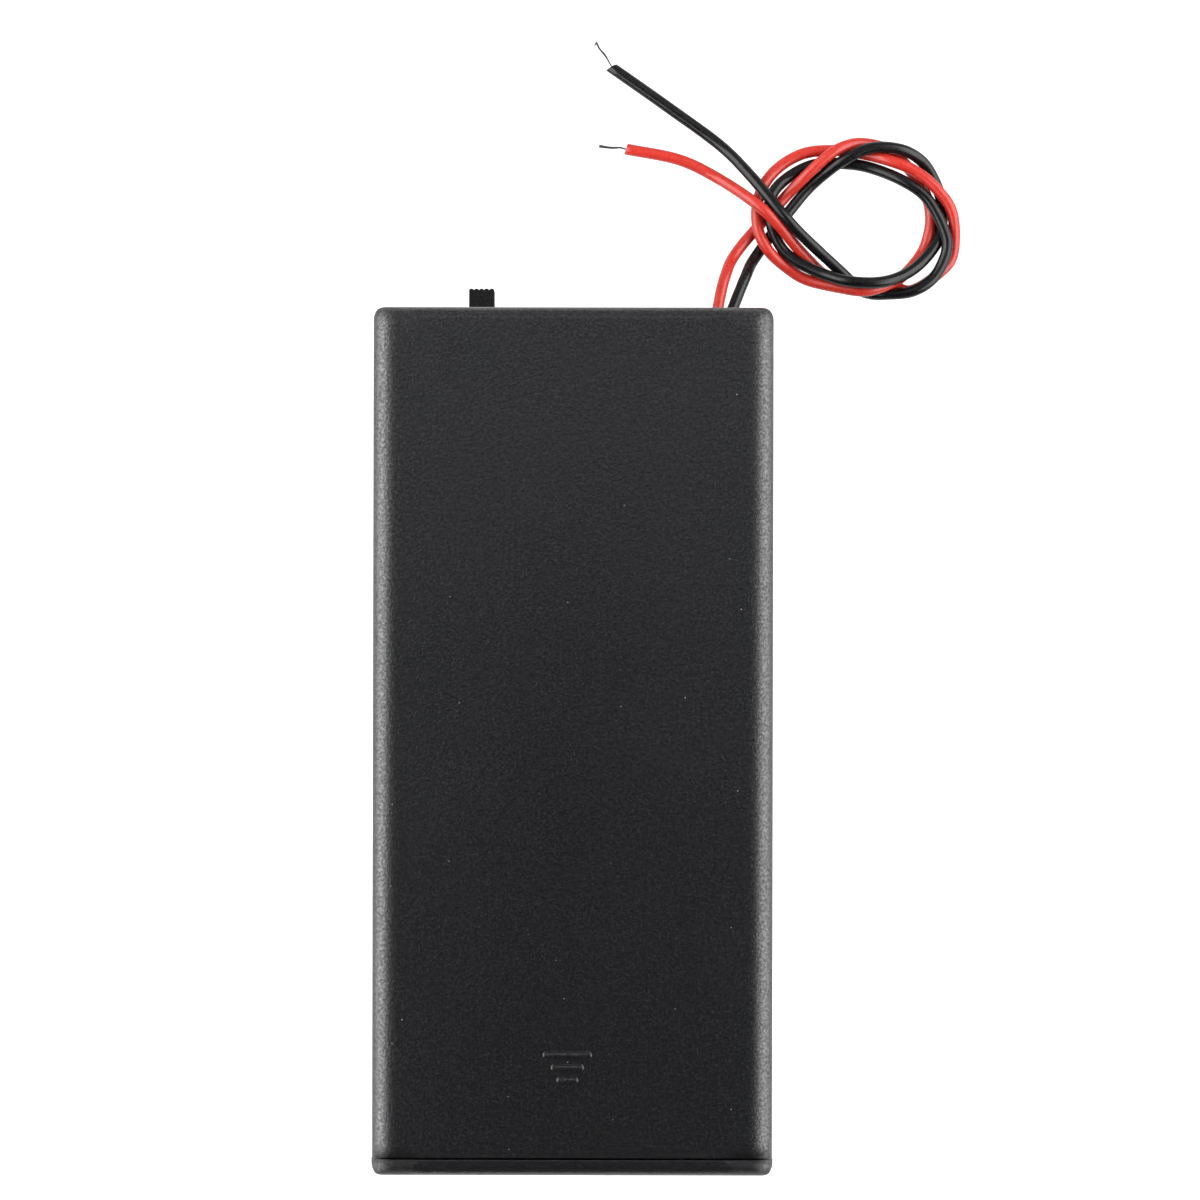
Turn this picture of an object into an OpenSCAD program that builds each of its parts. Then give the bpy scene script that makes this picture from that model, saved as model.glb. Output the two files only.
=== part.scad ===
// Covered holder for two cylindrical cells laid side by side and joined in series.
// A moulded tray with a wiring room at one end, a cover that slides off along the tray,
// sheet steel contacts with conical springs, a slide switch and two loose leads.
// The holder lies on its back: +Z points out of the cover, +Y towards the switch and leads,
// and the origin is the centre of the back face. Millimetres.

/* [Cells] */
// Diameter of one cell
cell_d = 18.5; // [18.2:0.1:18.8]
// Length of one cell over its button
cell_l = 65; // [64:0.5:67]
// Gap between the two cells
cell_gap = 1.1; // [0.9:0.1:1.8]
// Play between a cell and the outer wall
cell_play = 0.25; // [0.2:0.05:0.5]
// Room left for the spring when the cell is in
spring_room = 5.8; // [5:0.1:7]

/* [Tray] */
// Thickness of the side walls and of the switch end wall
wall_t = 2.2; // [2.2:0.05:2.5]
// Thickness of the plain end wall that shows beyond the cover
end_t = 1.85; // [1.6:0.05:2.4]
// Thickness of the floor
floor_t = 1.5; // [1.3:0.1:2]
// Thickness of the wall between the cells and the wiring room
partition_t = 1.6; // [1.4:0.1:2]
// Length of the wiring room
room_l = 14.75; // [14.5:0.25:18]
// Height at which the walls step in for the cover's sides
step_z = 13; // [12.5:0.25:14]
// Thickness of the rib between the cells
rib_t = 1.4; // [1.2:0.1:1.8]

/* [Cover] */
// Thickness of the cover's top
cover_t = 1.6; // [1.5:0.05:2]
// Thickness of the cover's sides
skirt_t = 1.15; // [1.1:0.05:1.2]
// Free height above the cells
head_play = 0.4; // [0.4:0.1:0.8]
// Running gap between the cover's sides and the tray
slide_gap = 0.15; // [0.1:0.01:0.18]
// Width of the seam round the cover
seam_gap = 0.2; // [0.15:0.05:0.4]
// How far the cover stands in from the plain end piece
cover_inset = 0.05; // [0.02:0.01:0.1]

/* [Edges] */
// Radius of the long top edges
edge_r = 1.5; // [1.2:0.1:1.8]
// Radius of the top edges at the two ends
end_edge_r = 1.25; // [1:0.05:1.5]
// Radius of the upright corners
corner_r = 1.5; // [1.2:0.1:1.8]
// Radius of the edges round the back
back_r = 0.8; // [0.6:0.1:1]

/* [Grip mark] */
// Lengths of the three raised bars, from the longest
bar_lengths = [5.1, 3.4, 2.15];
// Width of a bar
bar_w = 0.6; // [0.4:0.05:0.7]
// Height of a bar
bar_h = 0.35; // [0.2:0.05:0.5]
// Distance from one bar to the next
bar_pitch = 1.35; // [1.2:0.05:1.6]
// How far the marks stand left of the middle
bar_shift = 0.5; // [0:0.1:2]
// Distance from the plain end to the shortest bar
bar_from_end = 10.35; // [9:0.1:14]

/* [Switch] */
// Length of the switch shell
switch_w = 8.6; // [8.4:0.1:9]
// Height of the switch shell
switch_h = 4.4; // [4.2:0.1:4.8]
// Depth of the switch shell
switch_d = 3.9; // [3.9:0.1:4.4]
// Middle of the switch, left of the middle of the case
switch_shift = 9.35; // [8:0.05:11]
// Height of the switch's middle above the back
switch_z = 8; // [7:0.25:9]
// Width of the knob
knob_w = 2.8; // [2.4:0.1:3]
// Height of the knob
knob_h = 2.6; // [2.2:0.1:2.8]
// How far the knob stands out of the case
knob_out = 3.2; // [2.5:0.1:4]
// Travel of the knob from off to on
knob_travel = 2; // [1.8:0.1:2.1]
// Running gap round the sliding parts of the switch
switch_gap = 0.08; // [0.05:0.01:0.1]

/* [Contacts] */
// Thickness of the contact plates
plate_t = 0.4; // [0.3:0.05:0.5]
// Height of the contact plates
plate_h = 13.5; // [12:0.5:14]
// Wire of the contact springs
spring_wire = 0.8; // [0.7:0.05:0.9]
// Free length of the contact springs
spring_free = 9; // [8:0.25:10]
// Outer diameter of a spring where it sits on its plate
spring_base_d = 12; // [11:0.5:13]
// Outer diameter of a spring where it meets the cell
spring_tip_d = 7; // [6:0.5:8]
// Height of the raised button that meets a positive end
button_h = 1; // [0.8:0.1:1.2]
// Diameter of that button
button_d = 6; // [5:0.5:7]

/* [Leads] */
// Diameter of a lead over its insulation
lead_d = 1.3; // [1.2:0.05:1.35]
// Diameter of the bare tinned strand
strand_d = 0.45; // [0.3:0.05:0.8]
// Bare length at the end of the red lead
red_bare = 3.2; // [2:0.2:6]
// Bare length at the end of the black lead
black_bare = 3.4; // [2:0.2:6]
// Middle of the lead hole, right of the middle of the case
hole_shift = 16.5; // [14:0.1:16.6]
// Height of the lead hole above the back
hole_z = 5; // [4.5:0.1:6]

/* [Hidden] */
$fn = 48;

black_plastic = "#26262a";
nickel = "#c8c8c4";
brass = "#c8a860";
laminate = "#8a5a32";
solder_grey = "#b4b6ba";
red_pvc = "#dc3c34";
black_pvc = "#1c1c20";

// How far a cutting shape reaches past what it cuts
over = 1;
// How far a shape sinks into the one that carries it
sunk = 0.3;

// Inner and outer sizes, worked out from the cells
cell_r = cell_d / 2;
cell_x = (cell_d + cell_gap) / 2;
cell_z = floor_t + cell_r;
inner_x = cell_x + cell_r + cell_play;
case_w = 2 * (inner_x + wall_t);
bay_l = cell_l + spring_room + button_h + 2 * plate_t;
case_l = end_t + bay_l + partition_t + room_l + wall_t;
cover_z = floor_t + cell_d + head_play;
case_h = cover_z + cover_t;

// Places along the case, from the plain end to the switch end
back_y = -case_l / 2;
bay_y = back_y + end_t;
partition_y = bay_y + bay_l;
room_y = partition_y + partition_t;
front_in_y = room_y + room_l;
front_y = case_l / 2;

// Slide of the cover: a bead on the tray's walls runs in a groove in the cover's sides
rail_t = wall_t - skirt_t - slide_gap;
rail_top = cover_z - 0.2;
rail_x = inner_x + rail_t;
rail_y = front_in_y + rail_t;
bead_out = 0.5;
bead_h = 0.8;
bead_rise = 3;
bead_z = step_z + bead_rise;
groove_deep = 0.5;

// Switch places
switch_x = -switch_shift;
knob_x = switch_x - knob_travel / 2;
shell_t = 0.3;
board_t = 1;
block_w = knob_w + 1.6;
block_h = knob_h + 0.4;
block_d = 1.2;
head_t = 0.3;
clip_t = 0.25;
terminal_pitch = knob_travel;
terminal_w = 0.9;
terminal_t = 0.4;
terminal_out = 3.2;
shell_back_y = front_in_y - switch_d;
board_front_y = shell_back_y + board_t;
head_front_y = board_front_y + head_t;
block_front_y = front_in_y - shell_t - switch_gap;
block_back_y = block_front_y - block_d;
terminal_end_y = shell_back_y - terminal_out;
knob_end_y = front_y + knob_out;

// Contact plates and their solder tabs
plate_edge = 0.8;
cap_t = 0.6;
plate_in_x = rib_t / 2 + 0.15;
plate_out_x = inner_x - plate_edge;
plate_z = floor_t;
tab_w = 3;
tab_reach = 4;
tab_z = plate_z + 0.75 * plate_h;
tab_y = room_y + tab_reach;
tab_top = tab_z + plate_t;
negative_tab_out = 3.7;
positive_tab_out = 1.7;
negative_tab_x = -cell_x - negative_tab_out;
positive_tab_x = cell_x + positive_tab_out;
slot_gap = 0.1;
guide_t = 0.8;
guide_reach = plate_edge + 0.6;

// Turns of a contact spring, and the steps that one turn is drawn with
spring_turns = 4.5;
spring_steps = 14;

// Solder joints
solder_h = 1;
solder_r = 1.5;
solder_y = room_y + 2.2;
solder_cut = 0.7;
bead_r = 0.95;
wire_end_y = terminal_end_y - 0.3;

// Lead hole
hole_x = hole_shift;
lead_pitch = 1.4;
hole_w = lead_pitch + lead_d + 0.25;
hole_h = lead_d + 0.25;
lead_sides = 8;

// Where the wires start and end, and the leads' way inside to the hole
hole_at = [hole_x, front_y, 0];
red_start = [positive_tab_x, solder_y + solder_cut, tab_top + lead_d / 2];
jumper_start = [negative_tab_x + solder_cut, solder_y, tab_top + lead_d / 2];
jumper_end = [switch_x, wire_end_y, switch_z];
black_start = [switch_x + terminal_pitch, wire_end_y, switch_z];
red_inside = [red_start, red_start + [0.3, 2.2, -0.1], hole_at + [-2.2, -5.8, 7.8], hole_at + [-0.7, -2.6, 5.05]];
black_inside = [
    black_start, black_start + [1, -1.9, -1], hole_at + [-17, -12.4, 3.2], hole_at + [-9, -11, 3],
    hole_at + [-2, -6, 3.8], hole_at + [0.7, -2.6, 5.05]
];

// Route of each lead outside, from its place in the hole, across, along and above the back
red_route = [
    [-0.7, 0, 5], [0.4, 5, 3.3], [2.1, 8.6, 1], [7.2, 14.4, 0.7], [9.8, 17, 1.8],
    [12.4, 19.3, 2.3], [14.2, 20.3, 2], [16.2, 20.7, 1.4], [19, 20.2, 0.7], [21, 18.6, 0.7],
    [23.3, 15.3, 0.7], [24, 13, 0.7], [23.9, 10.8, 0.7], [23, 8.2, 0.7], [20.7, 5.5, 1.2],
    [18.8, 4.4, 2.6], [16.3, 3.7, 3.2], [13.6, 4.1, 2.6], [9.9, 5.1, 1.5], [7.6, 6.5, 1.4],
    [5.4, 8.4, 2.2], [4.2, 11.1, 2.1], [4.4, 14.6, 1.4], [6.2, 17.6, 0.7], [9.4, 19.6, 0.7],
    [13.1, 20, 0.7], [16.2, 19.6, 0.9], [19.3, 18.6, 2.1], [22, 17.5, 2.1], [24.4, 15.6, 2.1],
    [26.4, 12.7, 1.7], [26.6, 8.2, 0.7], [24.9, 5.9, 0.7], [21.8, 4, 0.7], [19.1, 4.7, 0.7],
    [14.9, 4.8, 0.7], [12.3, 5.5, 0.7], [9.1, 8.3, 2], [6.6, 11, 3.4], [3.9, 13.5, 3.7],
    [-0.2, 16.7, 1], [-4.7, 18.9, 0.7], [-10.7, 20.1, 0.7]
];
black_route = [
    [0.7, 0, 5], [2.7, 5, 3.2], [4.2, 8, 0.9], [9, 14.4, 0.7], [11.5, 16.9, 1.2],
    [14.1, 18.7, 2.3], [17.1, 20, 2.5], [20.5, 19.9, 2.1], [23, 18.7, 1.1], [24.5, 16.5, 0.7],
    [25.3, 14, 0.7], [25.3, 11.4, 0.7], [24.6, 9.2, 1.4], [22.1, 6.4, 2.3], [18.7, 4.7, 4],
    [14.8, 4.6, 4.2], [11.4, 5.7, 2.9], [8.1, 7.5, 2.2], [6.5, 9.4, 2.1], [5.6, 12.1, 2.3],
    [5.8, 14.6, 1.8], [7.5, 16.7, 0.7], [10.5, 18.3, 0.7], [13.9, 18.5, 0.7], [17.1, 18, 0.9],
    [20.8, 16.3, 2.1], [23.5, 14.3, 2.1], [25.4, 10.8, 2.1], [25.7, 8.3, 2.1], [24.3, 5.4, 2.1],
    [21.9, 3.8, 2.1], [18.9, 3.5, 1.6], [17.1, 3.6, 1.1], [15.8, 4.1, 1.8], [13.2, 6.4, 2.3],
    [9.1, 10, 3.5], [6.5, 12.8, 3.9], [3.3, 16.9, 2.5], [0, 20.5, 0.9], [-5.7, 24.7, 0.7],
    [-12.4, 29.4, 0.7]
];

// A rounded rectangle, w across and h high, centred on x, its lower edge on y = 0
module soft_rect(w, h, low_r, top_r) {
    inner_w = w - 2 * max(low_r, top_r);
    translate([-inner_w / 2, 0]) square([inner_w, h]);
    translate([-w / 2, low_r]) square([w, h - low_r - top_r]);
    for (side = [-1, 1]) {
        translate([side * (w / 2 - low_r), low_r]) circle(low_r);
        translate([side * (w / 2 - top_r), h - top_r]) circle(top_r);
    }
    if (low_r < top_r)
        translate([-w / 2 + low_r, 0]) square([w - 2 * low_r, h - top_r]);
    if (top_r < low_r)
        translate([-w / 2 + top_r, low_r]) square([w - 2 * top_r, h - low_r]);
}

// A block of the case's form: w wide, h high, from y0 to y1, with all its outer edges rounded
module soft_block(w, h, y0, y1) {
    l = y1 - y0;
    intersection() {
        translate([0, y0, 0]) linear_extrude(h) soft_rect(w, l, corner_r, corner_r);
        translate([0, y1, 0]) rotate([90, 0, 0]) linear_extrude(l) soft_rect(w, h, back_r, edge_r);
        translate([-w / 2, (y0 + y1) / 2, 0]) rotate([90, 0, 90])
            linear_extrude(w) soft_rect(l, h, back_r, end_edge_r);
    }
}

// A box given by its two far corners
module span(a, b) {
    translate(a) cube(b - a);
}

// What the cover takes away from the tray: all that lies outside the stepped-in walls
module cover_room() {
    difference() {
        span([-case_w, bay_y, step_z], [case_w, front_y + over, case_h + over]);
        span([-rail_x, bay_y - over, step_z - over], [rail_x, rail_y, rail_top]);
    }
}

// The bead that the cover's groove runs on, along one side
module slide_bead(side) {
    lead_in = 1.5;
    translate([side * rail_x, bay_y + lead_in, bead_z])
        rotate([-90, 0, 0])
            linear_extrude(rail_y - bay_y - lead_in)
                polygon([
                    [-side * sunk, -bead_h / 2], [0, -bead_h / 2], [side * bead_out, -bead_h / 4],
                    [side * bead_out, bead_h / 4], [0, bead_h / 2], [-side * sunk, bead_h / 2]
                ]);
}

// Ribs across each bay that keep a cell from rolling
module cell_saddles() {
    saddle_t = 1.2;
    saddle_h = 5;
    rest_r = cell_r + 0.15;
    difference() {
        for (share = [0.2, 0.5, 0.8])
            span([-inner_x - sunk, bay_y + share * bay_l - saddle_t / 2, floor_t - sunk],
                 [inner_x + sunk, bay_y + share * bay_l + saddle_t / 2, floor_t + saddle_h]);
        for (side = [-1, 1])
            translate([side * cell_x, bay_y, floor_t + rest_r]) rotate([-90, 0, 0]) cylinder(r = rest_r, h = bay_l);
    }
}

// Upright guides that hold the edges of the contact plates against the bay's ends
module plate_guides() {
    grip = plate_t + slot_gap;
    for (side = [-1, 1]) {
        for (y = [bay_y + grip, partition_y - grip - guide_t])
            span([side > 0 ? inner_x - guide_reach : -inner_x - sunk, y, floor_t - sunk],
                 [side > 0 ? inner_x + sunk : guide_reach - inner_x, y + guide_t, plate_z + plate_h]);
    }
    // The post between the two plates at the partition, with its cross bar
    span([-rib_t / 2, partition_y - grip - guide_t, floor_t - sunk],
         [rib_t / 2, partition_y + sunk, plate_z + plate_h]);
    span([-rib_t / 2 - over, partition_y - grip - guide_t, floor_t - sunk],
         [rib_t / 2 + over, partition_y - grip, plate_z + plate_h]);
}

// Low rib between the cells; it stops short of the bridge plate
module centre_rib() {
    rib_h = 5.5;
    span([-rib_t / 2, bay_y + plate_t + slot_gap, floor_t - sunk],
         [rib_t / 2, partition_y - plate_t - slot_gap, floor_t + rib_h]);
}

// Posts and seat that the switch is pressed into, with small catches behind its shell
module switch_seat() {
    post_t = 1.2;
    post_top = switch_z + switch_h / 2;
    catch_in = 0.35;
    catch_t = 0.5;
    seat_z = switch_z - switch_h / 2;
    rest_from_middle = switch_w / 4;
    for (side = [-1, 1]) {
        edge = switch_x + side * switch_w / 2;
        rest = switch_x + side * rest_from_middle;
        outer = edge + side * post_t;
        span([min(edge, outer), shell_back_y - catch_t, floor_t - sunk],
             [max(edge, outer), front_in_y + sunk, post_top]);
        span([min(edge - side * catch_in, outer), shell_back_y - catch_t, floor_t - sunk],
             [max(edge - side * catch_in, outer), shell_back_y, post_top]);
        span([rest - post_t / 2, shell_back_y, floor_t - sunk], [rest + post_t / 2, front_in_y + sunk, seat_z]);
    }
}

// Window in the end wall for the knob over its whole travel
module knob_window() {
    play = 0.3;
    span([knob_x - knob_w / 2 - play, front_in_y - over, switch_z - knob_h / 2 - play],
         [knob_x + knob_w / 2 + knob_travel + play, front_y + over, switch_z + knob_h / 2 + play]);
}

// Oblong hole in the end wall for the two leads
module lead_hole() {
    reach = (hole_w - hole_h) / 2;
    translate([hole_x, front_y + over, hole_z]) rotate([90, 0, 0]) linear_extrude(wall_t + 2 * over) {
        square([2 * reach, hole_h], center = true);
        for (side = [-1, 1])
            translate([side * reach, 0]) circle(d = hole_h);
    }
}

// Open notch in the partition for a solder tab
module tab_notch(x) {
    span([x - tab_w / 2 - slot_gap, partition_y - over, tab_z],
         [x + tab_w / 2 + slot_gap, room_y + over, case_h]);
}

// Polarity signs sunk in the bay floor
module sign_bar(x, y, along) {
    long = 5;
    thin = 1;
    deep = 0.3;
    size = along ? [thin, long] : [long, thin];
    span([x - size[0] / 2, y - size[1] / 2, floor_t - deep], [x + size[0] / 2, y + size[1] / 2, floor_t + over]);
}

module polarity_signs() {
    in_from_end = 22;
    low = bay_y + in_from_end;
    high = partition_y - in_from_end;
    sign_bar(-cell_x, low, false);
    sign_bar(-cell_x, low, true);
    sign_bar(-cell_x, high, false);
    sign_bar(cell_x, low, false);
    sign_bar(cell_x, high, false);
    sign_bar(cell_x, high, true);
}

module base_tray() {
    partition_over = 1.75;
    partition_top = plate_z + plate_h + partition_over;
    color(black_plastic) difference() {
        union() {
            difference() {
                soft_block(case_w, case_h, back_y, front_y);
                cover_room();
                span([-inner_x, bay_y, floor_t], [inner_x, partition_y, case_h + over]);
                span([-inner_x, room_y, floor_t], [inner_x, front_in_y, case_h + over]);
                span([-inner_x, partition_y - over, partition_top], [inner_x, room_y + over, case_h + over]);
            }
            slide_bead(-1);
            slide_bead(1);
            centre_rib();
            cell_saddles();
            plate_guides();
            switch_seat();
        }
        knob_window();
        lead_hole();
        tab_notch(negative_tab_x);
        tab_notch(positive_tab_x);
        polarity_signs();
    }
}

// A raised bar of the grip mark: round ends, and a rounded crest across its width
module grip_bar(length, y) {
    crest_r = 0.5;
    low = 0.4;
    intersection() {
        translate([-bar_shift, y, case_h - cover_inset - low]) linear_extrude(low + bar_h + over) {
            square([length - bar_w, bar_w], center = true);
            for (side = [-1, 1])
                translate([side * (length - bar_w) / 2, 0]) circle(d = bar_w);
        }
        translate([-bar_shift - length, y, case_h - cover_inset + bar_h - crest_r])
            rotate([0, 90, 0]) cylinder(r = crest_r, h = 2 * length);
    }
}

module sliding_cover() {
    w = case_w - 2 * cover_inset;
    h = case_h - cover_inset;
    y0 = bay_y + seam_gap;
    y1 = front_y - cover_inset;
    low_z = step_z + seam_gap;
    in_x = rail_x + slide_gap;
    in_y = rail_y + slide_gap;
    groove_h = bead_h + 2 * slide_gap;
    // The rounded block starts this far below the seam end, so that the seam edge stays square
    tail = 10;
    color(black_plastic) {
        difference() {
            soft_block(w, h, y0 - tail, y1);
            span([-case_w, y0 - tail - over, -over], [case_w, y0, case_h + over]);
            span([-case_w, y0 - over, -over], [case_w, front_y + over, low_z]);
            span([-in_x, y0 - over, -over], [in_x, in_y, cover_z]);
            span([-in_x - groove_deep, y0 - over, bead_z - groove_h / 2], [in_x + groove_deep, in_y, bead_z + groove_h / 2]);
        }
        for (i = [0:len(bar_lengths) - 1])
            grip_bar(bar_lengths[i], back_y + bar_from_end + (len(bar_lengths) - 1 - i) * bar_pitch);
    }
}

// The raised button that a positive end meets: a hollow cap pressed out of the plate towards dir
module pressed_button(dir) {
    root_r = button_d / 2;
    slope = 0.9;
    rotate([-90 * dir, 0, 0]) rotate_extrude()
        polygon([
            [0, button_h], [0, button_h + plate_t], [root_r - slope, button_h + plate_t], [root_r, plate_t],
            [root_r, 0], [root_r - cap_t, 0], [root_r - cap_t - slope, button_h]
        ]);
}

// Two small clips that fold over the first turn of a spring, on the plate face at y, towards dir
module spring_clips(dir) {
    clip_w = 1.6;
    clip_gap = 0.1;
    turn_r = (spring_base_d - spring_wire) / 2;
    over_wire = spring_wire + clip_gap;
    for (side = [-1, 1]) {
        root = side * (spring_base_d / 2 + clip_gap);
        span([min(root, root + side * plate_t), min(0, dir * (over_wire + plate_t)), -clip_w / 2],
             [max(root, root + side * plate_t), max(0, dir * (over_wire + plate_t)), clip_w / 2]);
        lip = side * (turn_r - clip_gap);
        span([min(lip, root + side * plate_t), min(dir * over_wire, dir * (over_wire + plate_t)), -clip_w / 2],
             [max(lip, root + side * plate_t), max(dir * over_wire, dir * (over_wire + plate_t)), clip_w / 2]);
    }
}

// A hole behind a pressed button, so that the cap is hollow from the plate's back
module button_hole(x, y0) {
    translate([x, y0 - over, cell_z]) rotate([-90, 0, 0]) cylinder(d = button_d - 2 * cap_t, h = plate_t + 2 * over);
}

// The strip that joins the negative end of the right cell to the positive end of the left one
module bridge_plate() {
    face_y = bay_y + plate_t;
    notch_w = 3;
    notch_h = 4;
    color(nickel) {
        difference() {
            span([-plate_out_x, bay_y, plate_z], [plate_out_x, face_y, plate_z + plate_h]);
            button_hole(-cell_x, bay_y);
            // Notch over the middle, so that the two halves can flex apart
            span([-notch_w / 2, bay_y - over, plate_z + plate_h - notch_h],
                 [notch_w / 2, face_y + over, plate_z + plate_h + over]);
        }
        translate([-cell_x, bay_y, cell_z]) pressed_button(1);
        translate([cell_x, face_y, cell_z]) spring_clips(1);
    }
}

// A plate at the partition with a tab that runs through the notch into the wiring room
module tabbed_plate(side, tab_x, holed) {
    x0 = side > 0 ? plate_in_x : -plate_out_x;
    x1 = side > 0 ? plate_out_x : -plate_in_x;
    difference() {
        span([x0, partition_y - plate_t, plate_z], [x1, partition_y, plate_z + plate_h]);
        if (holed) button_hole(side * cell_x, partition_y - plate_t);
    }
    span([tab_x - tab_w / 2, partition_y - plate_t, tab_z], [tab_x + tab_w / 2, tab_y, tab_top]);
}

module positive_plate() {
    color(nickel) {
        tabbed_plate(1, positive_tab_x, true);
        translate([cell_x, partition_y, cell_z]) pressed_button(-1);
    }
}

module negative_plate() {
    color(nickel) {
        tabbed_plate(-1, negative_tab_x, false);
        translate([-cell_x, partition_y - plate_t, cell_z]) spring_clips(-1);
    }
}

// Points of a conical spring's wire: a flat turn on the plate, open turns, and a flat turn at the tip
function eased(t) = min(max((t * spring_turns - 0.8) / (spring_turns - 1.6), 0), 1);
function spring_ring(t, dir) =
    let (
        seat = spring_wire / 2 * cos(180 / lead_sides),
        rise = seat + eased(t) * (spring_free - spring_wire),
        turn_r = (spring_base_d - spring_wire) / 2 * (1 - t) + (spring_tip_d - spring_wire) / 2 * t,
        a = 360 * spring_turns * t
    )
    [for (k = [0:lead_sides - 1])
        let (
            b = 360 * (k + 0.5) / lead_sides,
            r = turn_r + spring_wire / 2 * cos(b),
            y = rise + spring_wire / 2 * sin(b)
        )
        [r * sin(a), dir * y, dir * r * cos(a)]];

// A closed tube through rings that have the same number of points
module ring_tube(rings) {
    n = len(rings[0]);
    last = len(rings) - 1;
    polyhedron(
        points = [for (ring = rings) each ring],
        faces = [
            [for (k = [n - 1:-1:0]) k],
            for (i = [0:last - 1], k = [0:n - 1])
                let (a = i * n + k, b = i * n + (k + 1) % n)
                each [[a, b, b + n], [a, b + n, a + n]],
            [for (k = [0:n - 1]) last * n + k]
        ]
    );
}

module cone_spring(dir) {
    count = floor(spring_turns * spring_steps);
    ring_tube([for (i = [0:count]) spring_ring(i / count, dir)]);
}

module bridge_spring() {
    color(nickel) translate([cell_x, bay_y + plate_t, cell_z]) cone_spring(1);
}

module negative_spring() {
    color(nickel) translate([-cell_x, partition_y - plate_t, cell_z]) cone_spring(-1);
}

// Folded steel shell of the switch, open behind, with the window that the knob slides in
module switch_frame() {
    play = 0.2;
    color(nickel) difference() {
        span([switch_x - switch_w / 2, shell_back_y, switch_z - switch_h / 2],
             [switch_x + switch_w / 2, front_in_y, switch_z + switch_h / 2]);
        span([switch_x - switch_w / 2 + shell_t, shell_back_y - over, switch_z - switch_h / 2 + shell_t],
             [switch_x + switch_w / 2 - shell_t, front_in_y - shell_t, switch_z + switch_h / 2 - shell_t]);
        span([knob_x - knob_w / 2 - play, front_in_y - over, switch_z - knob_h / 2 - play],
             [knob_x + knob_w / 2 + knob_travel + play, front_in_y + over, switch_z + knob_h / 2 + play]);
    }
}

module terminal_slots() {
    for (i = [-1:1])
        span([switch_x + i * terminal_pitch - terminal_w / 2, shell_back_y - over, switch_z - terminal_t / 2],
             [switch_x + i * terminal_pitch + terminal_w / 2, head_front_y, switch_z + terminal_t / 2]);
}

module switch_board() {
    color(laminate) difference() {
        span([switch_x - switch_w / 2 + shell_t, shell_back_y, switch_z - switch_h / 2 + shell_t],
             [switch_x + switch_w / 2 - shell_t, board_front_y, switch_z + switch_h / 2 - shell_t]);
        terminal_slots();
    }
}

// A terminal: a blade with a rounded, drilled end, and a flat head that the contact slides on
module switch_terminal(i) {
    x = switch_x + i * terminal_pitch;
    head_gap = 0.6;
    head_w = terminal_pitch - head_gap;
    head_h = 2.4;
    color(brass) {
        span([x - terminal_w / 2, terminal_end_y + terminal_w / 2, switch_z - terminal_t / 2],
             [x + terminal_w / 2, board_front_y, switch_z + terminal_t / 2]);
        translate([x, terminal_end_y + terminal_w / 2, switch_z - terminal_t / 2])
            cylinder(d = terminal_w, h = terminal_t);
        span([x - head_w / 2, board_front_y, switch_z - head_h / 2],
             [x + head_w / 2, head_front_y, switch_z + head_h / 2]);
    }
}

module switch_terminal_1() {
    switch_terminal(-1);
}

module switch_terminal_2() {
    switch_terminal(0);
}

module switch_terminal_3() {
    switch_terminal(1);
}

// The knob, with rounded ribs across its end, on the block that slides inside the shell
module switch_knob() {
    crests = 5;
    pitch = knob_w / crests;
    crest_r = pitch * 0.55;
    groove = 0.26;
    pocket_edge = 0.5;
    stem_end = knob_end_y - groove;
    color(black_plastic) {
        difference() {
            span([knob_x - block_w / 2, block_back_y, switch_z - block_h / 2],
                 [knob_x + block_w / 2, block_front_y, switch_z + block_h / 2]);
            // Pocket behind, for the contact clip
            span([knob_x - block_w / 2 + pocket_edge, block_back_y - over, switch_z - block_h / 2 + pocket_edge],
                 [knob_x + block_w / 2 - pocket_edge, block_back_y + clip_t, switch_z + block_h / 2 - pocket_edge]);
        }
        translate([knob_x, 0, switch_z - knob_h / 2]) linear_extrude(knob_h) intersection() {
            union() {
                translate([-knob_w / 2, block_front_y - sunk]) square([knob_w, stem_end - block_front_y + sunk]);
                for (i = [0:crests - 1])
                    translate([(i - (crests - 1) / 2) * pitch, knob_end_y - crest_r]) circle(crest_r);
            }
            translate([-knob_w / 2, block_front_y - over]) square([knob_w, knob_end_y]);
        }
    }
}

// The clip that joins two neighbouring terminals: a back plate in the knob's pocket and two bent legs
module switch_contact() {
    clip_w = terminal_pitch + 1.2;
    clip_h = 2;
    foot_l = 0.9;
    leg_end_y = head_front_y + switch_gap;
    color(brass) {
        span([knob_x - clip_w / 2, block_back_y, switch_z - clip_h / 2],
             [knob_x + clip_w / 2, block_back_y + clip_t, switch_z + clip_h / 2]);
        for (side = [-1, 1]) {
            outer = knob_x + side * clip_w / 2;
            inner = outer - side * clip_t;
            foot = outer - side * foot_l;
            span([min(outer, inner), leg_end_y, switch_z - clip_h / 2],
                 [max(outer, inner), block_back_y + clip_t, switch_z + clip_h / 2]);
            span([min(outer, foot), leg_end_y, switch_z - clip_h / 2],
                 [max(outer, foot), leg_end_y + clip_t, switch_z + clip_h / 2]);
        }
    }
}

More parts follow.
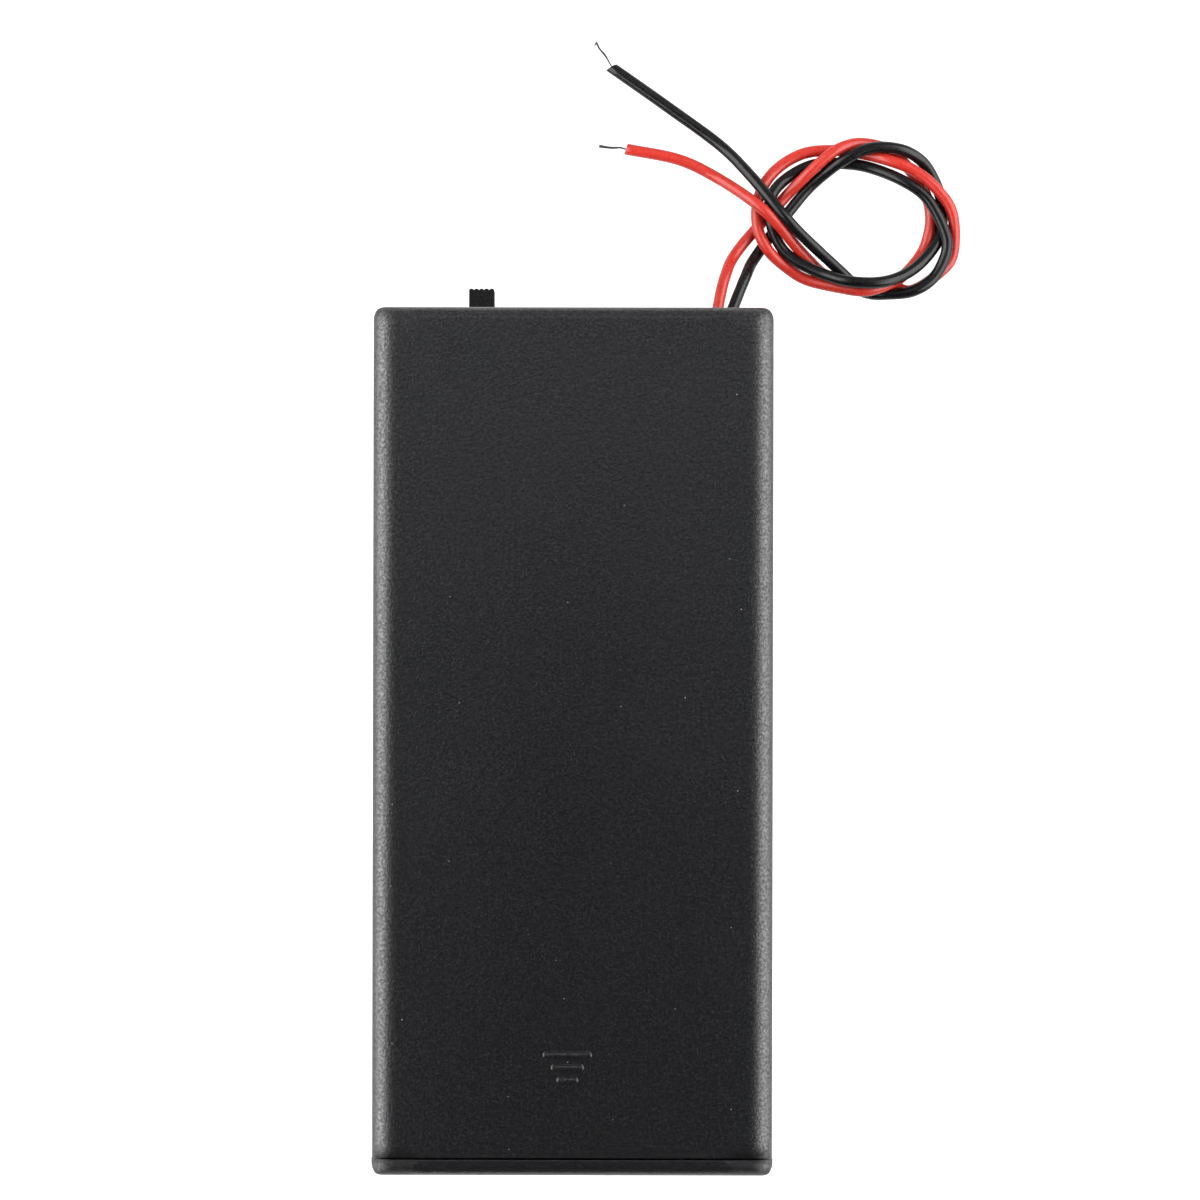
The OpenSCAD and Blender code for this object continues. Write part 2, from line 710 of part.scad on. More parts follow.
// A cap of solder on a tab, cut flat where the wire enters it, towards the cut direction
module tab_solder(x, cut_x, cut_y) {
    ball_r = (solder_r * solder_r + solder_h * solder_h) / (2 * solder_h);
    far = 3 * ball_r;
    color(solder_grey) difference() {
        translate([x, solder_y, tab_top + solder_h - ball_r]) sphere(ball_r);
        span([x - far, solder_y - far, tab_top - far], [x + far, solder_y + far, tab_top]);
        if (cut_x > 0)
            span([x + cut_x, solder_y - far, tab_top - over], [x + far, solder_y + far, tab_top + far]);
        if (cut_y > 0)
            span([x - far, solder_y + cut_y, tab_top - over], [x + far, solder_y + far, tab_top + far]);
    }
}

module solder_positive() {
    tab_solder(positive_tab_x, 0, solder_cut);
}

module solder_negative() {
    tab_solder(negative_tab_x, solder_cut, 0);
}

// A bead of solder round the end of a terminal, cut flat behind where the wire meets it
module terminal_solder(i) {
    x = switch_x + i * terminal_pitch;
    bead_in = 0.2;
    far = 3 * bead_r;
    color(solder_grey) difference() {
        translate([x, terminal_end_y + bead_in, switch_z]) sphere(bead_r);
        span([x - terminal_w / 2, terminal_end_y + terminal_w / 2, switch_z - terminal_t / 2],
             [x + terminal_w / 2, board_front_y, switch_z + terminal_t / 2]);
        translate([x, terminal_end_y + terminal_w / 2, switch_z - terminal_t / 2])
            cylinder(d = terminal_w, h = terminal_t);
        span([x - far, wire_end_y - far, switch_z - far], [x + far, wire_end_y, switch_z + far]);
    }
}

module solder_middle() {
    terminal_solder(0);
}

module solder_black() {
    terminal_solder(1);
}

// Sweep of a round cord along its route
function unit(v) = v / norm(v);
function along(p, i) =
    unit(p[min(i + 1, len(p) - 1)] - p[max(i - 1, 0)]);
function cord_ring(p, i, d, first, last) =
    let (
        t = i == 0 && first != undef ? first : i == len(p) - 1 && last != undef ? last : along(p, i),
        s = unit(cross(t, [0, 0, 1])),
        u = cross(s, t)
    )
    [for (k = [0:lead_sides - 1])
        let (b = 360 * (k + 0.5) / lead_sides)
        p[i] - s * d / 2 * cos(b) + u * d / 2 * sin(b)];

module cord(p, d, first = undef, last = undef) {
    ring_tube([for (i = [0:len(p) - 1]) cord_ring(p, i, d, first, last)]);
}

function placed(route, at) = [for (p = route) p + at];

module lead_red() {
    color(red_pvc) cord(concat(red_inside, placed(red_route, hole_at)), lead_d, first = [0, 1, 0]);
}

module lead_black() {
    color(black_pvc) cord(concat(black_inside, placed(black_route, hole_at)), lead_d, first = [0, -1, 0]);
}

module jumper_wire() {
    color(black_pvc) cord([
        jumper_start, jumper_start + [1.6, 0.2, -0.1], jumper_start + [3, 0.8, -1.4],
        jumper_end + [-0.2, -2.4, 1.2], jumper_end + [0, -1.2, 0.2], jumper_end
    ], lead_d, first = [1, 0, 0], last = [0, 1, 0]);
}

// The bare strand beyond a lead's insulation, bent down a little at its end
module bare_tip(route, bare) {
    p = placed(route, hole_at);
    start = p[len(p) - 1];
    d = along(p, len(p) - 1);
    bend = [0, 0.1, -0.2];
    color(nickel) cord([start, start + d * bare / 2, start + d * bare + bend], strand_d, first = d);
}

module lead_red_tip() {
    bare_tip(red_route, red_bare);
}

module lead_black_tip() {
    bare_tip(black_route, black_bare);
}

base_tray();
sliding_cover();
bridge_plate();
bridge_spring();
positive_plate();
negative_plate();
negative_spring();
switch_frame();
switch_board();
switch_terminal_1();
switch_terminal_2();
switch_terminal_3();
switch_knob();
switch_contact();
solder_positive();
solder_negative();
solder_middle();
solder_black();
jumper_wire();
lead_red();
lead_black();
lead_red_tip();
lead_black_tip();
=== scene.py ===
import math
import random

import bmesh
import bpy
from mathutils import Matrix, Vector


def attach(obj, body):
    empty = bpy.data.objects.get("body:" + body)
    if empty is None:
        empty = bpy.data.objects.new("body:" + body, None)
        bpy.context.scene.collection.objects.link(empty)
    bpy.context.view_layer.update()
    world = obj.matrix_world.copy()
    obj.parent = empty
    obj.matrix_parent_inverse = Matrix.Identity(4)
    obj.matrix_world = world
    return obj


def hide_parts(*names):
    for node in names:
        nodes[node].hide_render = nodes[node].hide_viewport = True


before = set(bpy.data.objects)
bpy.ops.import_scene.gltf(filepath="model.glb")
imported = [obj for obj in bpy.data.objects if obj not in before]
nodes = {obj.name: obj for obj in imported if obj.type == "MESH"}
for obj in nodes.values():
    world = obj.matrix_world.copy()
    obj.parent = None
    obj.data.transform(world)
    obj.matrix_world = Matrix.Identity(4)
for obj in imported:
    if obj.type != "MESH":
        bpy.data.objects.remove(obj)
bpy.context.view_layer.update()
scene = bpy.context.scene
MM = 0.001


# Small helpers

def mm(*values):
    """A point given in millimetres, in metres."""
    return Vector(values) * MM


def link(name, data):
    made = bpy.data.objects.new(name, data)
    scene.collection.objects.link(made)
    return made


def mesh_piece(name, points, faces, smooth=True):
    data = bpy.data.meshes.new(name)
    data.from_pydata([tuple(p) for p in points], [], faces)
    data.validate()
    data.polygons.foreach_set("use_smooth", [smooth] * len(data.polygons))
    return link(name, data)


# Camera, straight above, as the photograph was taken

lens = bpy.data.cameras.new("camera")
lens.sensor_width = 36
lens.lens = 84.4
lens.clip_start = 0.01
lens.clip_end = 20
camera = link("camera", lens)
camera.location = mm(2.88, 15.1, 322)
camera.rotation_euler = (0, 0, math.radians(0.12))
scene.camera = camera


# Routes of the leads in millimetres: inside, from solder to wall, then outside, from the hole

LEAD_D = 1.3
HOLE = Vector((16.5, 46.5, 0))
RED_INSIDE = [(11.5, 32.45, 12.675), (11.8, 34.65, 12.575), (14.3, 40.7, 7.8), (15.8, 43.9, 5.05), (15.8, 46.4, 5)]
RED_ROUTE = [
    (-0.7, 0, 5), (0.4, 5, 3.3), (2.1, 8.6, 1), (7.2, 14.4, 0.7), (9.8, 17, 1.8),
    (12.4, 19.3, 2.3), (14.2, 20.3, 2), (16.2, 20.7, 1.4), (19, 20.2, 0.7), (21, 18.6, 0.7),
    (23.3, 15.3, 0.7), (24, 13, 0.7), (23.9, 10.8, 0.7), (23, 8.2, 0.7), (20.7, 5.5, 1.2),
    (18.8, 4.4, 2.6), (16.3, 3.7, 3.2), (13.6, 4.1, 2.6), (9.9, 5.1, 1.5), (7.6, 6.5, 1.4),
    (5.4, 8.4, 2.2), (4.2, 11.1, 2.1), (4.4, 14.6, 1.4), (6.2, 17.6, 0.7), (9.4, 19.6, 0.7),
    (13.1, 20, 0.7), (16.2, 19.6, 0.9), (19.3, 18.6, 2.1), (22, 17.5, 2.1), (24.4, 15.6, 2.1),
    (26.4, 12.7, 1.7), (26.6, 8.2, 0.7), (24.9, 5.9, 0.7), (21.8, 4, 0.7), (19.1, 4.7, 0.7),
    (14.9, 4.8, 0.7), (12.3, 5.5, 0.7), (9.1, 8.3, 2), (6.6, 11, 3.4), (3.9, 13.5, 3.7),
    (-0.2, 16.7, 1), (-4.7, 18.9, 0.7), (-10.7, 20.1, 0.7),
]
BLACK_INSIDE = [
    (-7.35, 36.9, 8), (-6.35, 35, 7), (-0.5, 34.1, 3.2), (7.5, 35.5, 3), (14.5, 40.5, 3.8),
    (17.2, 43.9, 5.05), (17.2, 46.4, 5),
]
BLACK_ROUTE = [
    (0.7, 0, 5), (2.7, 5, 3.2), (4.2, 8, 0.9), (9, 14.4, 0.7), (11.5, 16.9, 1.2),
    (14.1, 18.7, 2.3), (17.1, 20, 2.5), (20.5, 19.9, 2.1), (23, 18.7, 1.1), (24.5, 16.5, 0.7),
    (25.3, 14, 0.7), (25.3, 11.4, 0.7), (24.6, 9.2, 1.4), (22.1, 6.4, 2.3), (18.7, 4.7, 4),
    (14.8, 4.6, 4.2), (11.4, 5.7, 2.9), (8.1, 7.5, 2.2), (6.5, 9.4, 2.1), (5.6, 12.1, 2.3),
    (5.8, 14.6, 1.8), (7.5, 16.7, 0.7), (10.5, 18.3, 0.7), (13.9, 18.5, 0.7), (17.1, 18, 0.9),
    (20.8, 16.3, 2.1), (23.5, 14.3, 2.1), (25.4, 10.8, 2.1), (25.7, 8.3, 2.1), (24.3, 5.4, 2.1),
    (21.9, 3.8, 2.1), (18.9, 3.5, 1.6), (17.1, 3.6, 1.1), (15.8, 4.1, 1.8), (13.2, 6.4, 2.3),
    (9.1, 10, 3.5), (6.5, 12.8, 3.9), (3.3, 16.9, 2.5), (0, 20.5, 0.9), (-5.7, 24.7, 0.7),
    (-12.4, 29.4, 0.7),
]
JUMPER = [
    (-12.8, 31.75, 12.675), (-11.2, 31.95, 12.575), (-9.8, 32.55, 11.275), (-9.55, 34.5, 9.2),
    (-9.35, 35.7, 8.2), (-9.35, 36.9, 8),
]


def smooth_line(points, steps):
    """Points along a smooth line through the given ones, all in the same unit."""
    ends = [2 * points[0] - points[1]] + points + [2 * points[-1] - points[-2]]
    made = []
    for i in range(1, len(ends) - 2):
        a, b, c, d = ends[i - 1:i + 3]
        for k in range(steps):
            t = k / steps
            made.append(0.5 * (2 * b + (c - a) * t + (2 * a - 5 * b + 4 * c - d) * t * t
                               + (3 * b - a - 3 * c + d) * t ** 3))
    return made + [points[-1].copy()]


def arc_lengths(path):
    made = [0.0]
    for a, b in zip(path, path[1:]):
        made.append(made[-1] + (b - a).length)
    return made


def rings_along(path, radius, sides, wobble=None):
    """Rings of points round a path, without twist. radius is a number, or a function of the share along it."""
    rings = []
    tangent = (path[1] - path[0]).normalized()
    side = tangent.orthogonal().normalized()
    for i, point in enumerate(path):
        ahead = path[min(i + 1, len(path) - 1)] - path[max(i - 1, 0)]
        turn = tangent.rotation_difference(ahead.normalized())
        tangent = ahead.normalized()
        side = (turn @ side).normalized()
        up = tangent.cross(side)
        r = radius(i / (len(path) - 1)) if callable(radius) else radius
        ring = []
        for k in range(sides):
            angle = 2 * math.pi * k / sides
            out = r * (1 + (wobble(i, angle) if wobble else 0))
            ring.append(point + (side * math.cos(angle) + up * math.sin(angle)) * out)
        rings.append(ring)
    return rings


def tube_piece(name, rings, lengths):
    """A closed mesh tube through rings, with a map of the way along it, in metres, and round it."""
    sides = len(rings[0])
    points = [p for ring in rings for p in ring]
    faces = []
    for i in range(len(rings) - 1):
        for k in range(sides):
            a, b = i * sides + k, i * sides + (k + 1) % sides
            faces.append((a, b, b + sides, a + sides))
    faces.append(tuple(reversed(range(sides))))
    faces.append(tuple((len(rings) - 1) * sides + k for k in range(sides)))
    made = mesh_piece(name, points, faces)
    grid = made.data.uv_layers.new(name="along")
    for face in made.data.polygons:
        for corner, loop in enumerate(face.loop_indices):
            ring, k = divmod(made.data.loops[loop].vertex_index, sides)
            if len(face.vertices) == 4 and corner in (1, 2) and k == 0:
                k = sides
            grid.data[loop].uv = (lengths[ring], k / sides)
    return made


def wire_path(points):
    """A wire's smooth path in metres, kept just above the floor."""
    line = smooth_line([Vector(p) for p in points], 8)
    for p in line:
        p.z = max(p.z, LEAD_D / 2 + 0.02)
    return [p * MM for p in line]


def inner_wire(name, points, node):
    path = wire_path(points)
    made = tube_piece(name, rings_along(path, LEAD_D / 2 * MM, 20), arc_lengths(path))
    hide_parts(node)
    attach(made, "tray")
    return made


def lead_piece(name, route, node, slant, seed):
    """A free lead with hand-stripped end: soft dents, a slanted ragged cut, and a bore round the strand."""
    path = wire_path([Vector(p) + HOLE for p in route])
    chance = random.Random(seed)
    dents = [chance.uniform(-0.012, 0.012) for _ in path]

    def wobble(i, angle):
        return dents[i] * math.cos(2 * angle + i * 0.21)

    rings = rings_along(path, LEAD_D / 2 * MM, 20, wobble=wobble)
    lengths = arc_lengths(path)
    last = path[-1]
    out = (last - path[-2]).normalized()
    aside = Vector((-out.y, out.x, 0))
    rim = []
    for k, p in enumerate(rings[-1]):
        lean = (p - last).dot(aside) * slant
        rim.append(p + out * (lean + 0.035 * MM * math.sin(3 * k)))
    rings[-1] = rim
    for shrink, depth in ((0.93, 0.05), (0.8, 0.05), (0.5, 0.01), (0.42, -0.1), (0.38, -0.7)):
        rings.append([last + (p - last) * shrink + out * depth * MM for p in rim])
        lengths.append(lengths[-1] + 0.1 * MM)
    made = tube_piece(name, rings, lengths)
    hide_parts(node)
    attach(made, "tray")
    return made, path


def strand_piece(name, start, points, node, turns, thick, wires=5):
    """The bare end: fine tinned wires twisted together. thick gives its radius in mm from share to share."""
    path = [start + p * MM for p in smooth_line([Vector(p) for p in points], 12)]
    frames = rings_along(path, 1.0, 4)
    joined = bmesh.new()

    def width(share):
        at = share * (len(thick) - 1)
        i = min(int(at), len(thick) - 2)
        return (thick[i] + (thick[i + 1] - thick[i]) * (at - i)) * MM

    tubes = [rings_along(path, lambda s: 0.5 * width(s), 8)]
    for w in range(wires):
        spun = []
        for i, p in enumerate(path):
            share = i / (len(path) - 1)
            angle = 2 * math.pi * (w / wires + turns * share)
            reach = 0.62 * width(share)
            spun.append(p + ((frames[i][0] - p) * math.cos(angle) + (frames[i][1] - p) * math.sin(angle)) * reach)
        tubes.append(rings_along(spun, lambda s: 0.42 * width(s), 8))
    for rings in tubes:
        verts = [[joined.verts.new(p) for p in ring] for ring in rings]
        for a, b in zip(verts, verts[1:]):
            for k in range(len(a)):
                joined.faces.new((a[k], a[(k + 1) % len(a)], b[(k + 1) % len(a)], b[k]))
        joined.faces.new(list(reversed(verts[0])))
        joined.faces.new(verts[-1])
    data = bpy.data.meshes.new(name)
    joined.to_mesh(data)
    joined.free()
    data.polygons.foreach_set("use_smooth", [True] * len(data.polygons))
    made = link(name, data)
    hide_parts(node)
    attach(made, "tray")
    return made


lead_red, red_path = lead_piece("red_lead", RED_ROUTE, "lead_red", 0.12, 3)
lead_black, black_path = lead_piece("black_lead", BLACK_ROUTE, "lead_black", 0.45, 8)
strand_red = strand_piece(
    "red_strand", red_path[-1],
    [(0.5, -0.1, 0.05), (-0.1, 0.0, 0.05), (-0.7, 0.15, 0.04), (-1.5, 0.15, 0.0), (-2.1, 0.19, -0.04),
     (-2.9, 0.32, -0.1), (-3.05, 0.34, -0.12)],
    "lead_red_tip", 4, [0.1, 0.09, 0.1, 0.14, 0.14, 0.17, 0.2])
strand_black = strand_piece(
    "black_strand", black_path[-1],
    [(0.3, -0.25, 0.0), (-0.11, 0.27, 0.05), (-0.43, 0.83, 0.06), (-0.8, 1.44, 0.04), (-1.41, 2.16, 0.0),
     (-1.72, 2.78, -0.04), (-1.8, 2.8, -0.05), (-1.97, 2.48, -0.08)],
    "lead_black_tip", 4, [0.09, 0.08, 0.1, 0.13, 0.11, 0.13, 0.11, 0.06])
inner_red = inner_wire("red_wire_inside", RED_INSIDE, "lead_red")
inner_black = inner_wire("black_wire_inside", BLACK_INSIDE, "lead_black")
jumper = inner_wire("jumper", JUMPER, "jumper_wire")


# Conical springs, drawn with round wire: closed turns at both ends, open turns between them

SPRING_WIRE = 0.8
SPRING_FREE = 9
SPRING_BASE_D = 12
SPRING_TIP_D = 7
SPRING_TURNS = 4.5


def spring_piece(name, seat, way, node):
    path = []
    count = 200
    for i in range(count + 1):
        t = i / count
        eased = min(max((t * SPRING_TURNS - 0.8) / (SPRING_TURNS - 1.6), 0), 1)
        rise = SPRING_WIRE / 2 + eased * (SPRING_FREE - SPRING_WIRE)
        r = (SPRING_BASE_D - SPRING_WIRE) / 2 * (1 - t) + (SPRING_TIP_D - SPRING_WIRE) / 2 * t
        a = 2 * math.pi * SPRING_TURNS * t
        path.append((Vector(seat) + Vector((r * math.sin(a), way * rise, way * r * math.cos(a)))) * MM)
    rings = rings_along(path, SPRING_WIRE / 2 * MM, 14)
    # The cut ends of the wire, with a small burr
    lengths = arc_lengths(path)
    end = [path[-1] + (p - path[-1]) * 0.8 + (path[-1] - path[-2]).normalized() * 0.08 * MM for p in rings[-1]]
    start = [path[0] + (p - path[0]) * 0.8 - (path[1] - path[0]).normalized() * 0.08 * MM for p in rings[0]]
    made = tube_piece(name, [start] + rings + [end], [0.0] + lengths + [lengths[-1]])
    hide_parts(node)
    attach(made, "tray")
    return made


spring_near = spring_piece("spring_at_bridge", (9.8, -44.25, 10.75), 1, "bridge_spring")
spring_far = spring_piece("spring_at_negative", (-9.8, 27.55, 10.75), -1, "negative_spring")


# Materials

def new_material(name):
    made = bpy.data.materials.new(name)
    made.use_nodes = True
    tree = made.node_tree
    return made, tree, tree.nodes["Principled BSDF"]


def place(tree, kind, **values):
    node = tree.nodes.new(kind)
    for key, value in values.items():
        if key in node.inputs:
            node.inputs[key].default_value = value
        else:
            setattr(node, key, value)
    return node


def noise_at(tree, vector, scale, detail=2.0, roughness=0.5):
    node = place(tree, "ShaderNodeTexNoise", Scale=scale, Detail=detail, Roughness=roughness)
    tree.links.new(vector, node.inputs["Vector"])
    return node.outputs["Fac"]


def ramp(tree, value, stops):
    node = tree.nodes.new("ShaderNodeValToRGB")
    elements = node.color_ramp.elements
    while len(elements) < len(stops):
        elements.new(0.5)
    for element, (at, colour) in zip(elements, stops):
        element.position = at
        element.color = (*colour, 1)
    tree.links.new(value, node.inputs["Fac"])
    return node.outputs["Color"]


def spread(tree, value, low, high, out_low, out_high):
    node = place(tree, "ShaderNodeMapRange", **{"From Min": low, "From Max": high, "To Min": out_low, "To Max": out_high})
    tree.links.new(value, node.inputs["Value"])
    return node.outputs["Result"]


def bump_chain(tree, shader, layers, soft_edge=None):
    """Bumps from heights: (height output, strength, distance in metres), one on another, over rounded edges."""
    normal = None
    if soft_edge is not None:
        edge = place(tree, "ShaderNodeBevel", samples=6)
        tree.links.new(soft_edge, edge.inputs["Radius"])
        normal = edge.outputs["Normal"]
    for height, strength, distance in layers:
        node = place(tree, "ShaderNodeBump", Strength=strength, Distance=distance)
        tree.links.new(height, node.inputs["Height"])
        if normal:
            tree.links.new(normal, node.inputs["Normal"])
        normal = node.outputs["Normal"]
    tree.links.new(normal, shader.inputs["Normal"])


def dust_specks(tree, where, cell, size):
    """Fine dust lying on what faces up: about one speck in a cell of the given width, some fainter than others."""
    cells = place(tree, "ShaderNodeTexVoronoi", voronoi_dimensions="2D", Scale=1 / cell, Randomness=1.0)
    tree.links.new(where, cells.inputs["Vector"])
    dot = spread(tree, cells.outputs["Distance"], size / cell * 0.6, size / cell, 1, 0)
    luck = place(tree, "ShaderNodeSeparateColor")
    tree.links.new(cells.outputs["Color"], luck.inputs["Color"])
    faint = spread(tree, luck.outputs["Red"], 0.6, 1, 0, 1)
    up = place(tree, "ShaderNodeSeparateXYZ")
    tree.links.new(tree.nodes.new("ShaderNodeNewGeometry").outputs["Normal"], up.inputs["Vector"])
    flat = spread(tree, up.outputs["Z"], 0.97, 0.99, 0, 1)
    return product(tree, product(tree, dot, faint), flat)


def product(tree, first, second):
    node = place(tree, "ShaderNodeMath", operation="MULTIPLY")
    tree.links.new(first, node.inputs[0])
    tree.links.new(second, node.inputs[1])
    return node.outputs[0]


def edge_softness(tree, where, small, wide, near):
    """How far an edge's shading is softened: wide beyond near on either side of the middle, small between."""
    across = place(tree, "ShaderNodeSeparateXYZ")
    tree.links.new(where, across.inputs["Vector"])
    off = place(tree, "ShaderNodeMath", operation="ABSOLUTE")
    tree.links.new(across.outputs["X"], off.inputs[0])
    return spread(tree, off.outputs[0], near - 0.001, near, small, wide)


def spark_plastic(name, dark, light, rough, grain, depth, shine=0.5, soft=(0.0001, 0.0001), dusty=0):
    """Moulded plastic from a spark-eroded tool: fine even grain, a few dust specks, faint flow."""
    made, tree, shader = new_material(name)
    where = tree.nodes.new("ShaderNodeTexCoord").outputs["Object"]
    soft_edge = edge_softness(tree, where, *soft, 0.0173)
    fine = noise_at(tree, where, grain, 2, 0.6)
    body = ramp(tree, noise_at(tree, where, 60, 3), [(0.3, dark), (0.7, light)])
    if dusty:
        mix = place(tree, "ShaderNodeMixRGB", Color2=(dusty, dusty, dusty, 1))
        tree.links.new(dust_specks(tree, where, 0.006, 0.00007), mix.inputs["Fac"])
        tree.links.new(body, mix.inputs["Color1"])
        body = mix.outputs["Color"]
    tree.links.new(body, shader.inputs["Base Color"])
    tree.links.new(spread(tree, fine, 0.3, 0.7, rough - 0.03, rough + 0.05), shader.inputs["Roughness"])
    pits = noise_at(tree, where, grain * 0.55, 1)
    tree.links.new(spread(tree, pits, 0.3, 0.7, shine * 0.62, shine * 1.38), shader.inputs["Specular IOR Level"])
    bump_chain(tree, shader, [(fine, 0.8, depth)], soft_edge)
    return made


def pvc(name, dark, light, rough, shine=0.5):
    """Extruded insulation: faint lengthwise streaks and small dents."""
    made, tree, shader = new_material(name)
    flat = tree.nodes.new("ShaderNodeUVMap")
    stretch = tree.nodes.new("ShaderNodeMapping")
    stretch.inputs["Scale"].default_value = (300, 6, 1)
    tree.links.new(flat.outputs["UV"], stretch.inputs["Vector"])
    streak = noise_at(tree, stretch.outputs["Vector"], 3, 3)
    where = tree.nodes.new("ShaderNodeTexCoord").outputs["Object"]
    dust = noise_at(tree, where, 2600, 3)
    tree.links.new(ramp(tree, streak, [(0.3, dark), (0.75, light)]), shader.inputs["Base Color"])
    tree.links.new(spread(tree, dust, 0.3, 0.7, rough - 0.07, rough + 0.1), shader.inputs["Roughness"])
    shader.inputs["Specular IOR Level"].default_value = shine
    bump_chain(tree, shader, [(streak, 0.25, 0.00004), (dust, 0.3, 0.00002)])
    return made


def plated(name, colour, rough, metallic=1.0, scratch=900):
    """Sheet metal or wire with a thin bright plating: brushed grain, dull patches."""
    made, tree, shader = new_material(name)
    where = tree.nodes.new("ShaderNodeTexCoord").outputs["Object"]
    stretch = tree.nodes.new("ShaderNodeMapping")
    stretch.inputs["Scale"].default_value = (0.12, 1, 1)
    tree.links.new(where, stretch.inputs["Vector"])
    lines = noise_at(tree, stretch.outputs["Vector"], scratch * 6, 3)
    dull = noise_at(tree, where, 350, 3)
    shader.inputs["Metallic"].default_value = metallic
    darker = tuple(c * 0.8 for c in colour)
    tree.links.new(ramp(tree, dull, [(0.35, darker), (0.65, colour)]), shader.inputs["Base Color"])
    tree.links.new(spread(tree, dull, 0.3, 0.7, rough - 0.08, rough + 0.1), shader.inputs["Roughness"])
    bump_chain(tree, shader, [(lines, 0.2, 0.00001)])
    return made


case_plastic = spark_plastic(
    "case_plastic", (0.0025, 0.0025, 0.003), (0.0035, 0.0035, 0.004), 0.2, 6300, 0.000045, 0.9, (0.0002, 0.0023), 0.25)
knob_plastic = spark_plastic(
    "knob_plastic", (0.002, 0.002, 0.0025), (0.003, 0.003, 0.0035), 0.35, 9000, 0.000004, 0.3, (0.00005, 0.00005))
red_pvc = pvc("red_pvc", (0.42, 0.02, 0.012), (0.5, 0.028, 0.017), 0.3)
black_pvc = pvc("black_pvc", (0.002, 0.002, 0.0025), (0.0045, 0.0045, 0.005), 0.24, 0.34)
nickel = plated("nickel", (0.72, 0.71, 0.67), 0.28)
spring_steel = plated("spring_steel", (0.68, 0.67, 0.64), 0.24)
brass = plated("brass", (0.75, 0.56, 0.27), 0.3)
tinned = plated("tinned", (0.06, 0.058, 0.055), 0.4, 0.8)
solder = plated("solder", (0.7, 0.71, 0.73), 0.3)
laminate = spark_plastic("laminate", (0.16, 0.07, 0.025), (0.22, 0.1, 0.04), 0.55, 3000, 0.00001)


def dress(piece, material):
    piece.data.materials.clear()
    piece.data.materials.append(material)


for name, material in {
    "base_tray": case_plastic, "sliding_cover": case_plastic, "switch_knob": knob_plastic,
    "bridge_plate": nickel, "positive_plate": nickel, "negative_plate": nickel, "switch_frame": nickel,
    "switch_board": laminate,
    "switch_terminal_1": brass, "switch_terminal_2": brass, "switch_terminal_3": brass, "switch_contact": brass,
    "solder_positive": solder, "solder_negative": solder, "solder_middle": solder, "solder_black": solder,
}.items():
    dress(nodes[name], material)
dress(lead_red, red_pvc)
dress(lead_black, black_pvc)
dress(inner_red, red_pvc)
dress(inner_black, black_pvc)
dress(jumper, black_pvc)
dress(strand_red, tinned)
dress(strand_black, tinned)
dress(spring_near, spring_steel)
dress(spring_far, spring_steel)


# White floor, with a white wall far round it that only the camera sees

FLOOR_Z = -0.05 * MM
floor = mesh_piece("floor", [(x, y, FLOOR_Z) for x, y in ((-3, -3), (3, -3), (3, 3), (-3, 3))], [(0, 1, 2, 3)],
                   smooth=False)
paper, paper_tree, paper_shader = new_material("paper")
paper_shader.inputs["Base Color"].default_value = (0.3, 0.3, 0.3, 1)
paper_shader.inputs["Roughness"].default_value = 0.9
paper_shader.inputs["Specular IOR Level"].default_value = 0.1
paper_shader.inputs["Emission Color"].default_value = (1, 1, 1, 1)
ray = place(paper_tree, "ShaderNodeLightPath")
paper_tree.links.new(spread(paper_tree, ray.outputs["Is Camera Ray"], 0, 1, 0.6, 1.1),
                     paper_shader.inputs["Emission Strength"])
floor.data.materials.append(paper)

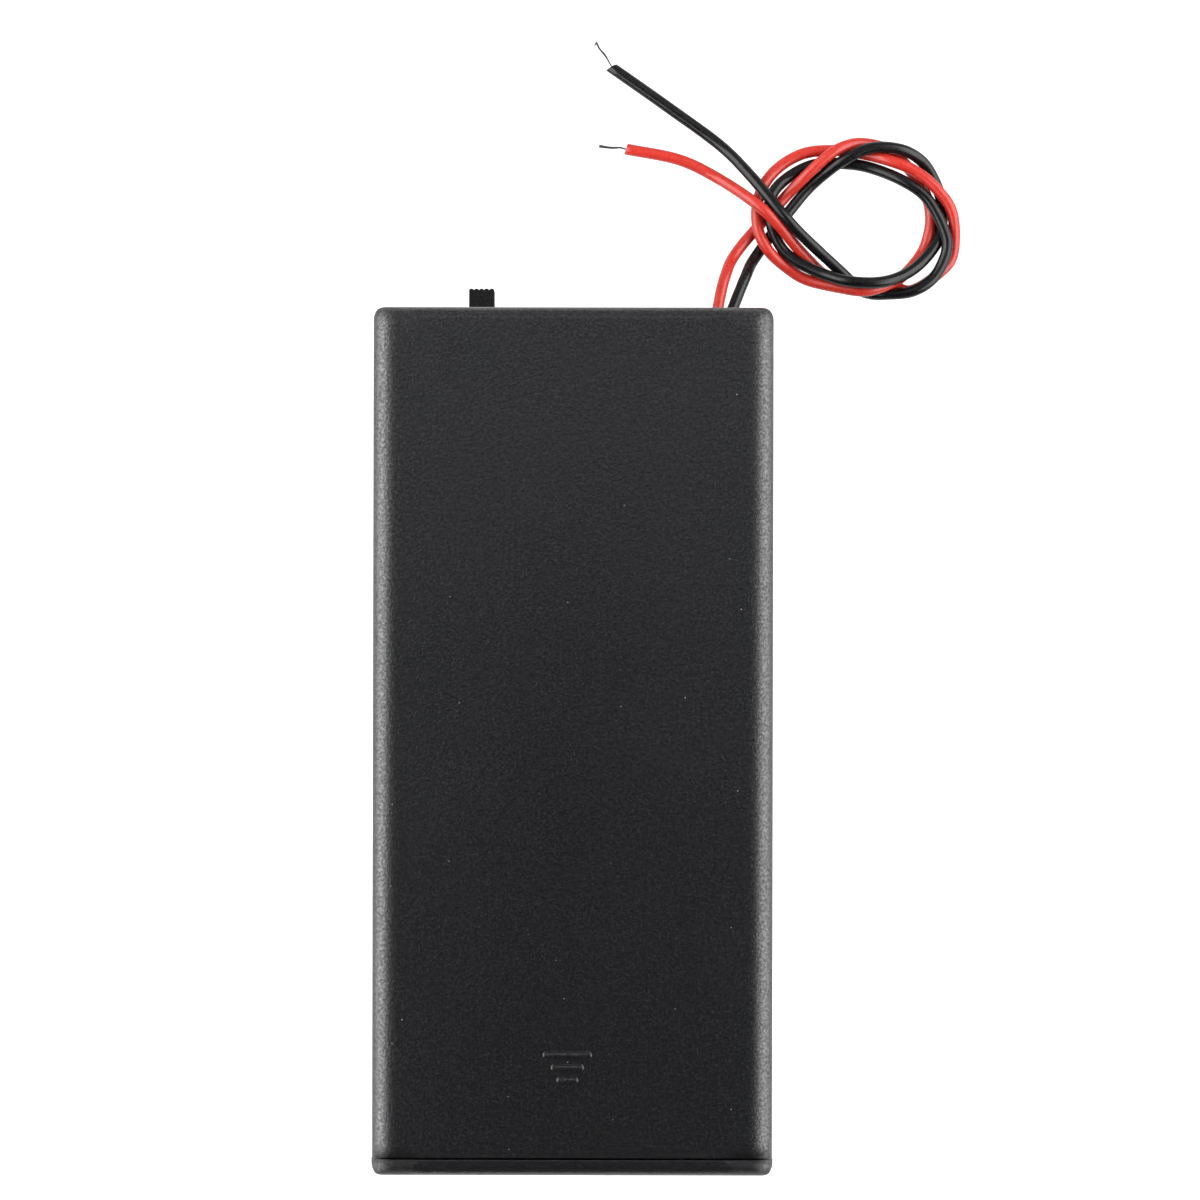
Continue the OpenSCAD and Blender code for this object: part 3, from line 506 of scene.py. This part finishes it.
around = [(2.9 * math.cos(a), 2.9 * math.sin(a)) for a in (math.pi * k / 24 for k in range(48))]
wall = mesh_piece("backdrop", [(x, y, z) for z in (-0.01, 6) for x, y in around],
                  [(k, k + 48, (k + 1) % 48 + 48, (k + 1) % 48) for k in range(48)])
wall.data.materials.append(paper)
for seen in ("visible_diffuse", "visible_glossy", "visible_shadow"):
    setattr(wall, seen, False)


def soft_box(name, place_at, size, glow, colour=(1, 1, 1)):
    """A panel of light that faces the case; glow is how bright its face is."""
    lamp = bpy.data.lights.new(name, "AREA")
    lamp.shape = "RECTANGLE"
    lamp.size, lamp.size_y = size
    lamp.energy = glow * math.pi * size[0] * size[1]
    lamp.color = colour
    made = link(name, lamp)
    made.location = place_at
    aim = Vector((0, 0.02, 0)) - Vector(place_at)
    made.rotation_euler = aim.to_track_quat("-Z", "Y").to_euler()
    return made


def side_light(name, side, low, high, glow):
    """A long panel at one side that fills the given degrees from straight above."""
    middle, half = math.radians((low + high) / 2), math.radians((high - low) / 2)
    away = 0.72
    place_at = (side * away * math.sin(middle), 0.03, away * math.cos(middle))
    soft_box(name, place_at, (1.1, 2 * away * math.tan(half)), glow)


# Both sides fade out upwards, so that the rounded edges fade into the dark face
for side, label, gain in ((-1, "left", 1.0), (1, "right", 0.93)):
    side_light(f"light_{label}_low", side, 57, 84, 4.6 * gain)
    side_light(f"light_{label}_main", side, 36, 57, 5.6 * gain)
    side_light(f"light_{label}_soft", side, 27, 36, 3.3 * gain)
    side_light(f"light_{label}_fade", side, 20, 27, 0.5 * gain)
soft_box("light_top_edge", (0.0, 0.95, 0.45), (1.2, 0.7), 0.5)
soft_box("light_bottom_edge", (0.0, -0.95, 0.45), (1.2, 0.7), 0.12)
soft_box("light_far", (0.0, 0.45, 1.1), (1.0, 0.6), 0.6, (0.95, 0.92, 1))

world = bpy.data.worlds.new("studio")
scene.world = world
world.use_nodes = True
world.node_tree.nodes["Background"].inputs["Color"].default_value = (0.9, 0.92, 1, 1)
world.node_tree.nodes["Background"].inputs["Strength"].default_value = 0.034
scene.view_settings.view_transform = "Standard"
scene.view_settings.look = "None"
scene.view_settings.exposure = 0
scene.view_settings.gamma = 1
